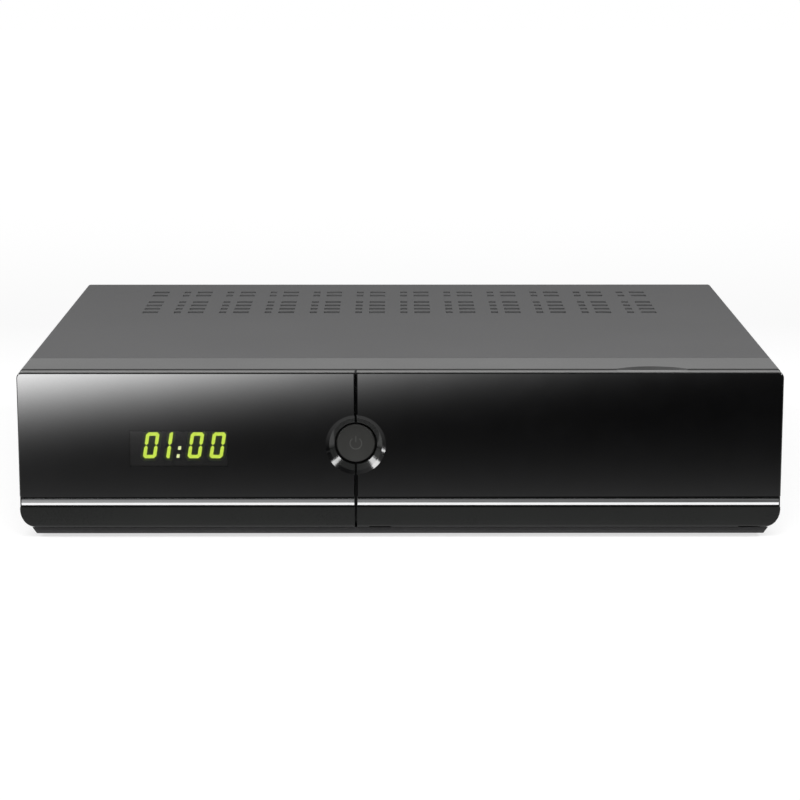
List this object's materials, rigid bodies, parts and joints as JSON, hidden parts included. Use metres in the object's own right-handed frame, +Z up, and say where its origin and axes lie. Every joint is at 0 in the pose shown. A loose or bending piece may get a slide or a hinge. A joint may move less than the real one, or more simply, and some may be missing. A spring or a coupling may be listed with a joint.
{
  "type": "satellite television receiver",
  "caption": "Flat set-top satellite receiver with a vented metal case, smoked display window, dished power button and a drop-down flap over a card slot.",
  "frame": {"origin": "on the table under the middle of the receiver", "axes": "+X to the right seen from the front, +Y to the back, +Z up"},
  "size_m": [0.3018, 0.2404, 0.0673],
  "materials": {
    "coated_steel": "fine textured powder coat, dark grey",
    "moulded_black": "satin black moulding",
    "gloss_black": "polished black",
    "button_face": "satin charcoal",
    "bright_trim": "bright plated",
    "plated_steel": "zinc or nickel plated",
    "plated_brass": "nickel plated brass",
    "foot_rubber": "black rubber",
    "board_green": "solder masked glass fibre board",
    "board_tan": "phenolic board",
    "heatsink_alloy": "anodised",
    "dark_package": "moulded chip package",
    "can_sleeve": "sleeved capacitor can",
    "core_ferrite": "ferrite and winding",
    "lead_insulation": "insulated leads and flat cable"
  },
  "bodies": {
    "case": {"aerial_inputs": "plated_brass", "bezel_left": "moulded_black", "board_capacitors": "can_sleeve", "board_screws": "plated_steel", "bright_strip_left": "bright_trim", "card_reader": "plated_steel", "chassis_pan": "coated_steel", "cover_screws": "plated_steel", "display_module": "gloss_black", "front_board": "board_green", "front_cheeks": "moulded_black", "front_frame": "moulded_black", "front_shelf": "moulded_black", "front_usb_socket": "plated_steel", "fuse_holder": "plated_steel", "hdmi_socket": "plated_steel", "inductors": "dark_package", "ir_receiver": "gloss_black", "line_choke": "core_ferrite", "main_board": "board_green", "mains_inlet": "moulded_black", "memory_chips": "dark_package", "network_socket": "plated_steel", "optical_port": "dark_package", "phono_barrels": "plated_brass", "phono_block": "moulded_black", "processor": "dark_package", "processor_heatsink": "heatsink_alloy", "psu_board": "board_tan", "psu_capacitors": "can_sleeve", "psu_harness": "lead_insulation", "psu_heatsink": "heatsink_alloy", "rear_panel": "coated_steel", "ribbon_cable": "lead_insulation", "rocker_housing": "moulded_black", "rubber_feet": "foot_rubber", "scart_shells": "plated_steel", "scart_sockets": "moulded_black", "serial_port": "plated_steel", "serial_posts": "plated_steel", "standoffs": "plated_brass", "sub_panel": "moulded_black", "tact_switches": "moulded_black", "top_cover": "coated_steel", "transformer": "core_ferrite", "tuner_can": "plated_steel", "window_left": "gloss_black"},
    "flap": {"flap_door": "moulded_black", "flap_plate": "gloss_black", "bright_strip_right": "bright_trim", "hinge_pins": "plated_steel"},
    "power_button": {"power_button": "button_face"},
    "channel_down_key": {"channel_down_key": "moulded_black"},
    "channel_up_key": {"channel_up_key": "moulded_black"},
    "mains_rocker": {"mains_rocker": "moulded_black"}
  },
  "joints": [
    {"name": "flap_hinge", "type": "hinge", "parent": "case", "child": "flap", "pos_m": [0, -0.1168, 0.00715], "axis": [1, 0, 0], "range_deg": [0, 90]},
    {"name": "power_press", "type": "slide", "parent": "case", "child": "power_button", "axis": [0, 1, 0], "range_m": [0, 0.001], "stiffness_N_per_m": 300},
    {"name": "channel_down_press", "type": "slide", "parent": "case", "child": "channel_down_key", "axis": [0, 1, 0], "range_m": [0, 0.0008], "stiffness_N_per_m": 250},
    {"name": "channel_up_press", "type": "slide", "parent": "case", "child": "channel_up_key", "axis": [0, 1, 0], "range_m": [0, 0.0008], "stiffness_N_per_m": 250},
    {"name": "mains_rocker_tilt", "type": "hinge", "parent": "case", "child": "mains_rocker", "pos_m": [-0.084, 0.1072, 0.0225], "axis": [1, 0, 0], "range_deg": [-24, 0]}
  ]
}
